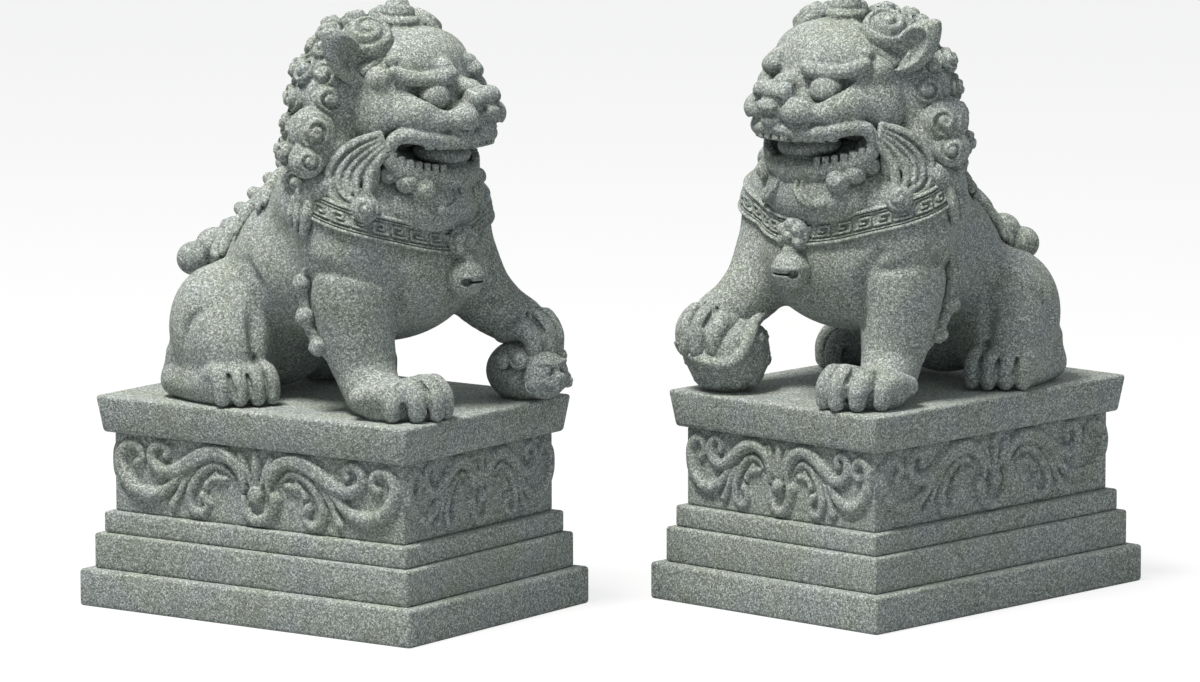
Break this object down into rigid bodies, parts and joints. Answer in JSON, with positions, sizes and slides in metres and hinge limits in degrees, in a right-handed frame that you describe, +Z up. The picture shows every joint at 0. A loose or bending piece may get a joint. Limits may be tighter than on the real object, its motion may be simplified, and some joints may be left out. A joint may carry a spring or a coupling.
{
  "type": "guardian lion statues",
  "caption": "Matched guardian lions in cast stone on stepped pedestals: a lioness with a cub and a lion with a ball, each free-standing on its own foot slab.",
  "frame": {"origin": "centre of the pair's bounding box at floor level", "axes": "+Z up; +X runs from the lioness's side to the lion's side; the picture looks along +Y, and both animals face forward, towards -Y, and inward"},
  "size_m": [0.354, 0.1889, 0.2041],
  "materials": {
    "lion_ball": "matt cast stone with fine light and dark grains",
    "lion_beard": "matt cast stone with fine light and dark grains",
    "lion_bell": "matt cast stone with fine light and dark grains",
    "lion_cap_slab": "matt cast stone with fine light and dark grains",
    "lion_collar": "matt cast stone with fine light and dark grains",
    "lion_foot_slab": "matt cast stone with fine light and dark grains",
    "lion_frieze_block": "matt cast stone with fine light and dark grains",
    "lion_head": "matt cast stone with fine light and dark grains",
    "lion_left_cheek_locks": "matt cast stone with fine light and dark grains",
    "lion_left_ear": "matt cast stone with fine light and dark grains",
    "lion_left_elbow_fringe": "matt cast stone with fine light and dark grains",
    "lion_left_haunch": "matt cast stone with fine light and dark grains",
    "lion_left_tassel": "matt cast stone with fine light and dark grains",
    "lion_lower_jaw": "matt cast stone with fine light and dark grains",
    "lion_lower_step": "matt cast stone with fine light and dark grains",
    "lion_mane": "matt cast stone with fine light and dark grains",
    "lion_raised_foreleg": "matt cast stone with fine light and dark grains",
    "lion_right_cheek_locks": "matt cast stone with fine light and dark grains",
    "lion_right_ear": "matt cast stone with fine light and dark grains",
    "lion_right_elbow_fringe": "matt cast stone with fine light and dark grains",
    "lion_right_haunch": "matt cast stone with fine light and dark grains",
    "lion_right_tassel": "matt cast stone with fine light and dark grains",
    "lion_spine_ridge": "matt cast stone with fine light and dark grains",
    "lion_standing_foreleg": "matt cast stone with fine light and dark grains",
    "lion_tail": "matt cast stone with fine light and dark grains",
    "lion_torso": "matt cast stone with fine light and dark grains",
    "lion_upper_step": "matt cast stone with fine light and dark grains",
    "lioness_beard": "matt cast stone with fine light and dark grains",
    "lioness_bell": "matt cast stone with fine light and dark grains",
    "lioness_cap_slab": "matt cast stone with fine light and dark grains",
    "lioness_collar": "matt cast stone with fine light and dark grains",
    "lioness_cub": "matt cast stone with fine light and dark grains",
    "lioness_foot_slab": "matt cast stone with fine light and dark grains",
    "lioness_frieze_block": "matt cast stone with fine light and dark grains",
    "lioness_head": "matt cast stone with fine light and dark grains",
    "lioness_left_cheek_locks": "matt cast stone with fine light and dark grains",
    "lioness_left_ear": "matt cast stone with fine light and dark grains",
    "lioness_left_elbow_fringe": "matt cast stone with fine light and dark grains",
    "lioness_left_haunch": "matt cast stone with fine light and dark grains",
    "lioness_left_tassel": "matt cast stone with fine light and dark grains",
    "lioness_lower_jaw": "matt cast stone with fine light and dark grains",
    "lioness_lower_step": "matt cast stone with fine light and dark grains",
    "lioness_mane": "matt cast stone with fine light and dark grains",
    "lioness_raised_foreleg": "matt cast stone with fine light and dark grains",
    "lioness_right_cheek_locks": "matt cast stone with fine light and dark grains",
    "lioness_right_ear": "matt cast stone with fine light and dark grains",
    "lioness_right_elbow_fringe": "matt cast stone with fine light and dark grains",
    "lioness_right_haunch": "matt cast stone with fine light and dark grains",
    "lioness_right_tassel": "matt cast stone with fine light and dark grains",
    "lioness_spine_ridge": "matt cast stone with fine light and dark grains",
    "lioness_standing_foreleg": "matt cast stone with fine light and dark grains",
    "lioness_tail": "matt cast stone with fine light and dark grains",
    "lioness_torso": "matt cast stone with fine light and dark grains",
    "lioness_upper_step": "matt cast stone with fine light and dark grains"
  },
  "bodies": {
    "root": {"lion_ball": "lion_ball", "lion_beard": "lion_beard", "lion_bell": "lion_bell", "lion_cap_slab": "lion_cap_slab", "lion_collar": "lion_collar", "lion_foot_slab": "lion_foot_slab", "lion_frieze_block": "lion_frieze_block", "lion_head": "lion_head", "lion_left_cheek_locks": "lion_left_cheek_locks", "lion_left_ear": "lion_left_ear", "lion_left_elbow_fringe": "lion_left_elbow_fringe", "lion_left_haunch": "lion_left_haunch", "lion_left_tassel": "lion_left_tassel", "lion_lower_jaw": "lion_lower_jaw", "lion_lower_step": "lion_lower_step", "lion_mane": "lion_mane", "lion_raised_foreleg": "lion_raised_foreleg", "lion_right_cheek_locks": "lion_right_cheek_locks", "lion_right_ear": "lion_right_ear", "lion_right_elbow_fringe": "lion_right_elbow_fringe", "lion_right_haunch": "lion_right_haunch", "lion_right_tassel": "lion_right_tassel", "lion_spine_ridge": "lion_spine_ridge", "lion_standing_foreleg": "lion_standing_foreleg", "lion_tail": "lion_tail", "lion_torso": "lion_torso", "lion_upper_step": "lion_upper_step", "lioness_beard": "lioness_beard", "lioness_bell": "lioness_bell", "lioness_cap_slab": "lioness_cap_slab", "lioness_collar": "lioness_collar", "lioness_cub": "lioness_cub", "lioness_foot_slab": "lioness_foot_slab", "lioness_frieze_block": "lioness_frieze_block", "lioness_head": "lioness_head", "lioness_left_cheek_locks": "lioness_left_cheek_locks", "lioness_left_ear": "lioness_left_ear", "lioness_left_elbow_fringe": "lioness_left_elbow_fringe", "lioness_left_haunch": "lioness_left_haunch", "lioness_left_tassel": "lioness_left_tassel", "lioness_lower_jaw": "lioness_lower_jaw", "lioness_lower_step": "lioness_lower_step", "lioness_mane": "lioness_mane", "lioness_raised_foreleg": "lioness_raised_foreleg", "lioness_right_cheek_locks": "lioness_right_cheek_locks", "lioness_right_ear": "lioness_right_ear", "lioness_right_elbow_fringe": "lioness_right_elbow_fringe", "lioness_right_haunch": "lioness_right_haunch", "lioness_right_tassel": "lioness_right_tassel", "lioness_spine_ridge": "lioness_spine_ridge", "lioness_standing_foreleg": "lioness_standing_foreleg", "lioness_tail": "lioness_tail", "lioness_torso": "lioness_torso", "lioness_upper_step": "lioness_upper_step"}
  },
  "joints": []
}
